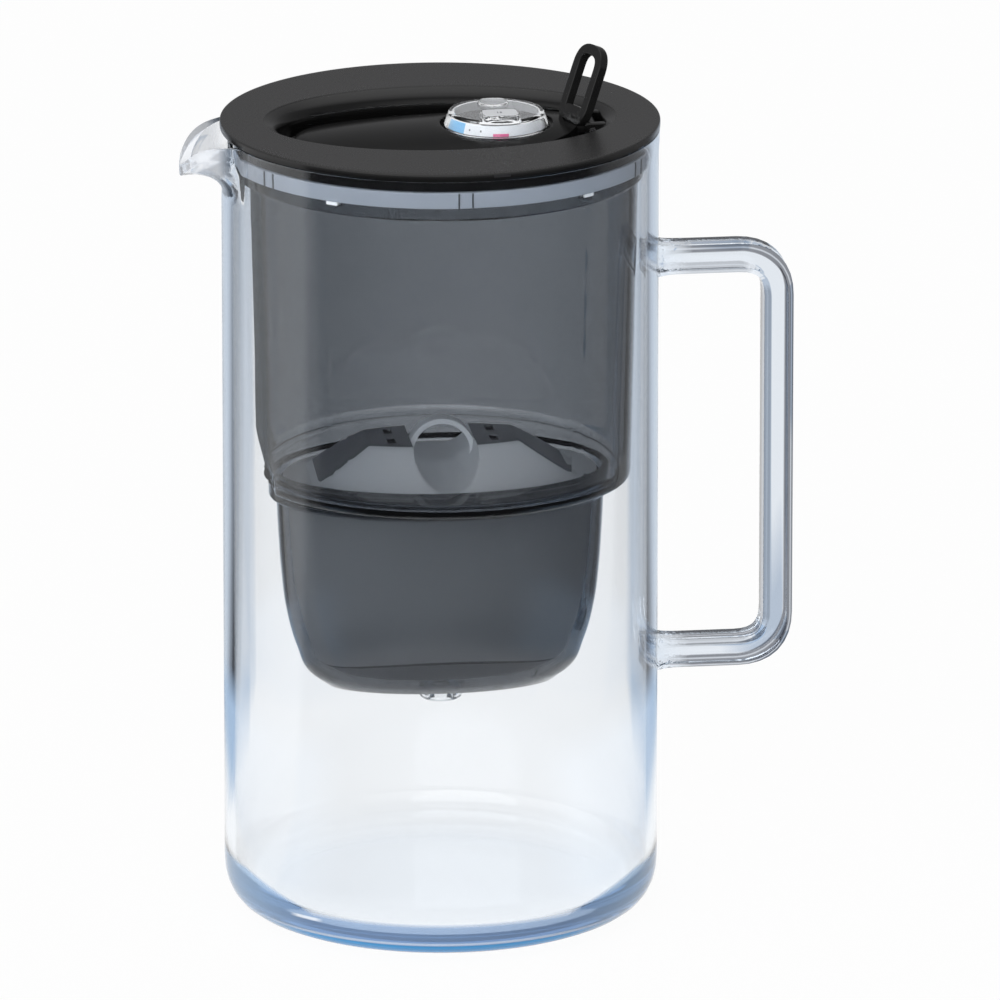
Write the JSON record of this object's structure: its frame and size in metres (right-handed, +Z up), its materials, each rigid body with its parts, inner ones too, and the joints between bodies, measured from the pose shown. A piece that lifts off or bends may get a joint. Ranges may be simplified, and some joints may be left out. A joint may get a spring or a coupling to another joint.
{
  "type": "water filter pitcher",
  "caption": "Glass water filter jug with welded glass handle, smoky lift-out hopper, oval cartridge and black lid with a hinged fill flap, date dial and pull loop.",
  "frame": {"origin": "middle of the jug's base face, on the surface it stands on", "axes": "+Z up along the jug's axis, +X towards the handle, spout at -X"},
  "size_m": [0.1833, 0.1308, 0.2629],
  "materials": {
    "clear_glass": "clear, polished, blue at the edges",
    "smoky_plastic": "smoky, see-through, smooth",
    "clear_silicone": "clear, soft",
    "clear_plastic": "clear, polished",
    "grey_plastic": "smooth, satin",
    "black_rubber": "matte",
    "screen_mesh": "fine mesh",
    "filter_medium": "granular",
    "black_plastic": "satin",
    "pin_steel": "drawn",
    "printed_card": "printed scale"
  },
  "bodies": {
    "jug": {"glass_jug": "clear_glass", "glass_handle": "clear_glass"},
    "hopper": {"hopper_shell": "smoky_plastic", "seal_ring": "clear_silicone", "outlet_nozzle": "clear_plastic"},
    "cartridge": {"cartridge_body": "grey_plastic", "cartridge_cap": "grey_plastic", "cartridge_seal": "black_rubber", "inlet_screen": "screen_mesh", "outlet_screen": "screen_mesh", "filter_bed": "filter_medium"},
    "lid": {"lid_cover": "black_plastic", "lid_skirt": "black_plastic", "hinge_pin": "pin_steel"},
    "flap": {"flap_panel": "black_plastic", "pull_loop": "black_plastic", "dial_card": "printed_card"},
    "dial": {"dial_knob": "clear_plastic", "dial_clip": "grey_plastic"}
  },
  "joints": [
    {"name": "hopper_lift", "type": "slide", "parent": "jug", "child": "hopper", "axis": [0, 0, 1], "range_m": [0, 0.17]},
    {"name": "cartridge_lift", "type": "slide", "parent": "hopper", "child": "cartridge", "axis": [0, 0, 1], "range_m": [0, 0.065]},
    {"name": "lid_lift", "type": "slide", "parent": "hopper", "child": "lid", "axis": [0, 0, 1], "range_m": [0, 0.06]},
    {"name": "flap_hinge", "type": "hinge", "parent": "lid", "child": "flap", "pos_m": [0.0446, 0, 0.2396], "axis": [0, 1, 0], "range_deg": [0, 50]},
    {"name": "dial_turn", "type": "hinge", "parent": "flap", "child": "dial", "pos_m": [0.0168, 0, 0.239], "axis": [0, 0, 1], "continuous": true}
  ]
}
